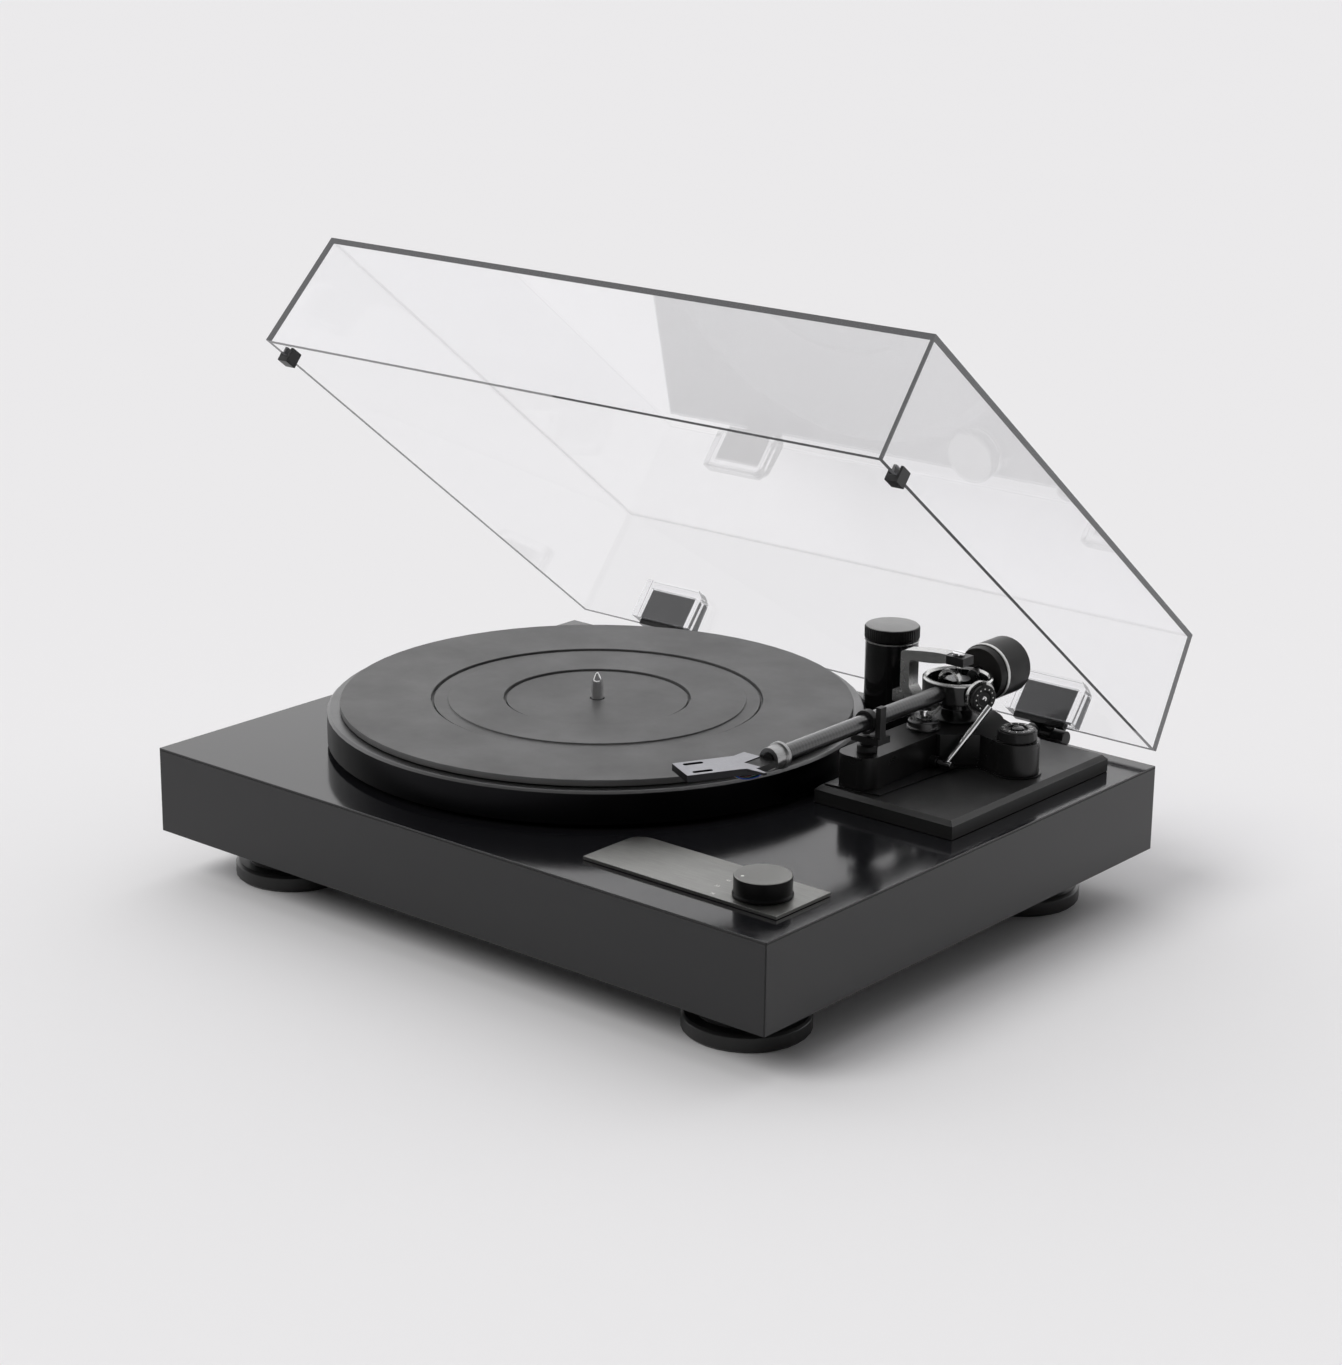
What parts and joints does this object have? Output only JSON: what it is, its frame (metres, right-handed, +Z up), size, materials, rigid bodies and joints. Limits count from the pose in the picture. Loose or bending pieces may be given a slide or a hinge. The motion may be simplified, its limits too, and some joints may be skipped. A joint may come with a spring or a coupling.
{
  "type": "turntable record player",
  "caption": "Direct-drive turntable with a gloss black plinth, rubber platter mat, straight carbon tone arm with headshell, cue lift, accessory canister and an open clear hinged lid",
  "frame": {"origin": "under the middle of the whole player with its lid open, on the surface it stands on", "axes": "+X to the player's right, +Y to the back, +Z up"},
  "size_m": [0.435, 0.3952, 0.3486],
  "materials": {
    "plinth": "piano black lacquer on top, satin dark sides",
    "black_metal": "satin black",
    "foot_rubber": "smooth moulded rubber",
    "mat_rubber": "matt fine-grained rubber",
    "cast_aluminium": "dark satin, turned",
    "bright_aluminium": "brushed satin",
    "chrome": "polished",
    "steel": "satin",
    "brass": "gilt",
    "black_plastic": "fine satin",
    "gloss_black": "gloss black",
    "carbon": "woven carbon fibre under clear lacquer",
    "circuit": "green laminate",
    "copper": "enamelled copper wire",
    "clear": "clear transparent acrylic"
  },
  "bodies": {
    "player": {"plinth": "plinth", "base_plate": "black_metal", "foot_front_left": "foot_rubber", "foot_front_right": "foot_rubber", "foot_back_left": "foot_rubber", "foot_back_right": "foot_rubber", "motor_base": "steel", "bearing_housing": "brass", "motor_board": "circuit", "stator_coils": "copper", "control_plate": "cast_aluminium", "speed_switch": "steel", "main_board": "circuit", "rear_panel": "black_metal", "phono_socket_left": "brass", "phono_socket_right": "brass", "ground_post": "brass", "power_inlet": "black_plastic", "arm_board": "black_plastic", "pod_flange": "black_metal", "pod_casting": "black_metal", "arm_column": "gloss_black", "yoke": "bright_aluminium", "yoke_block": "black_metal", "pivot_screw": "chrome", "arm_rest": "black_plastic", "lift_guide": "chrome", "canister": "gloss_black", "hinge_base_left": "black_plastic", "hinge_base_right": "black_plastic"},
    "platter": {"platter": "cast_aluminium", "platter_mat": "mat_rubber", "spindle": "chrome", "rotor_magnet": "black_metal"},
    "knob": {"speed_knob": "black_plastic"},
    "antiskate": {"antiskate_dial": "black_plastic"},
    "lift": {"lift_piston": "chrome", "lift_bar": "foot_rubber"},
    "lever": {"cue_lever": "chrome"},
    "swing": {"swing_hub": "steel", "bearing_strap": "bright_aluminium"},
    "arm": {"gimbal_ring": "black_metal", "arm_tube": "carbon", "rest_sleeve": "foot_rubber", "rear_stub": "steel", "force_scale": "bright_aluminium", "headshell": "bright_aluminium", "headshell_plug": "black_plastic", "cartridge_leads": "copper"},
    "collar": {"headshell_collar": "steel"},
    "weight": {"counterweight": "black_metal"},
    "force": {"tracking_force_dial": "black_plastic"},
    "cap": {"canister_cap": "black_plastic"},
    "lid": {"lid": "clear", "hinge_leaf_left": "black_plastic", "hinge_leaf_right": "black_plastic", "hinge_pocket_left": "clear", "hinge_pocket_right": "clear", "lid_bumper_left": "foot_rubber", "lid_bumper_right": "foot_rubber"}
  },
  "joints": [
    {"name": "platter_spin", "type": "hinge", "parent": "player", "child": "platter", "pos_m": [-0.046, -0.02056, 0.0973], "axis": [0, 0, 1], "continuous": true},
    {"name": "speed_select", "type": "hinge", "parent": "player", "child": "knob", "pos_m": [0.1802, -0.15337, 0.08], "axis": [0, 0, 1], "range_deg": [-60, 30]},
    {"name": "antiskate_turn", "type": "hinge", "parent": "player", "child": "antiskate", "pos_m": [0.1814, 0.06513, 0.105], "axis": [0, 0, 1], "range_deg": [-150, 150]},
    {"name": "cue_lever_tilt", "type": "hinge", "parent": "player", "child": "lever", "pos_m": [0.153, 0.03943, 0.0907], "axis": [1, 0, 0], "range_deg": [0, 65]},
    {"name": "lift_travel", "type": "slide", "parent": "player", "child": "lift", "axis": [0, 0, 1], "range_m": [-0.003, 0]},
    {"name": "arm_swing", "type": "hinge", "parent": "player", "child": "swing", "pos_m": [0.1353, 0.07394, 0.123], "axis": [0, 0, 1], "range_deg": [-45, 0]},
    {"name": "arm_pitch", "type": "hinge", "parent": "swing", "child": "arm", "pos_m": [0.1353, 0.07394, 0.123], "axis": [-0.9397, 0.342, 0], "range_deg": [0, 5]},
    {"name": "collar_turn", "type": "hinge", "parent": "arm", "child": "collar", "pos_m": [0.1353, -0.08807, 0.123], "axis": [0, 1, 0], "range_deg": [-90, 90]},
    {"name": "weight_travel", "type": "slide", "parent": "arm", "child": "weight", "axis": [0, 1, 0], "range_m": [0, 0.006]},
    {"name": "force_dial_turn", "type": "hinge", "parent": "arm", "child": "force", "pos_m": [0.15785, 0.06573, 0.123], "axis": [0.9397, -0.342, 0], "range_deg": [0, 270]},
    {"name": "cap_lift", "type": "slide", "parent": "player", "child": "cap", "axis": [0, 0, 1], "range_m": [0, 0.03]},
    {"name": "lid_hinge", "type": "hinge", "parent": "player", "child": "lid", "pos_m": [0, 0.15793, 0.076], "axis": [1, 0, 0], "range_deg": [-16.5, 38.5]}
  ],
  "couplings": [
    {"joint": "lift_travel", "follows": "cue_lever_tilt", "m_per_rad": -0.00264}
  ]
}
